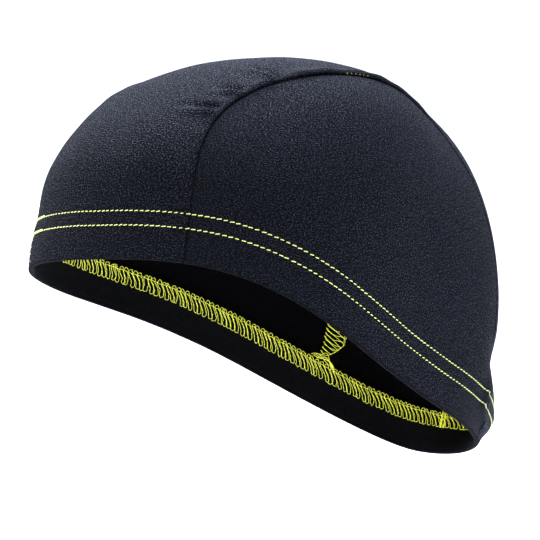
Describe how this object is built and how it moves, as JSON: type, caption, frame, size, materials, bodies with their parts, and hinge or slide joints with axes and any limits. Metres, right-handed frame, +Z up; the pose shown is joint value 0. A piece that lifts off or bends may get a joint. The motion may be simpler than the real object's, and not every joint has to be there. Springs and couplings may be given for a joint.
{
  "type": "helmet liner cap",
  "caption": "Thin stretch jersey skull cap to wear under a helmet, with a center panel between side panels and a turned, coverstitched hem.",
  "frame": {"origin": "highest point of the crown's inner face on the middle line, where the head carries the cap", "axes": "+Z up as worn, -Y towards the brow, +X towards the wearer's left"},
  "size_m": [0.1615, 0.1949, 0.1666],
  "materials": {
    "jersey": "matte",
    "jersey_inside": "matte",
    "overlocked_edge": "matte",
    "sewing_thread": "satin"
  },
  "bodies": {
    "root": {"center_panel": "jersey", "left_side_panel": "jersey", "right_side_panel": "jersey", "hem_facing": "jersey_inside", "left_seam_allowance": "overlocked_edge", "right_seam_allowance": "overlocked_edge"}
  },
  "joints": []
}
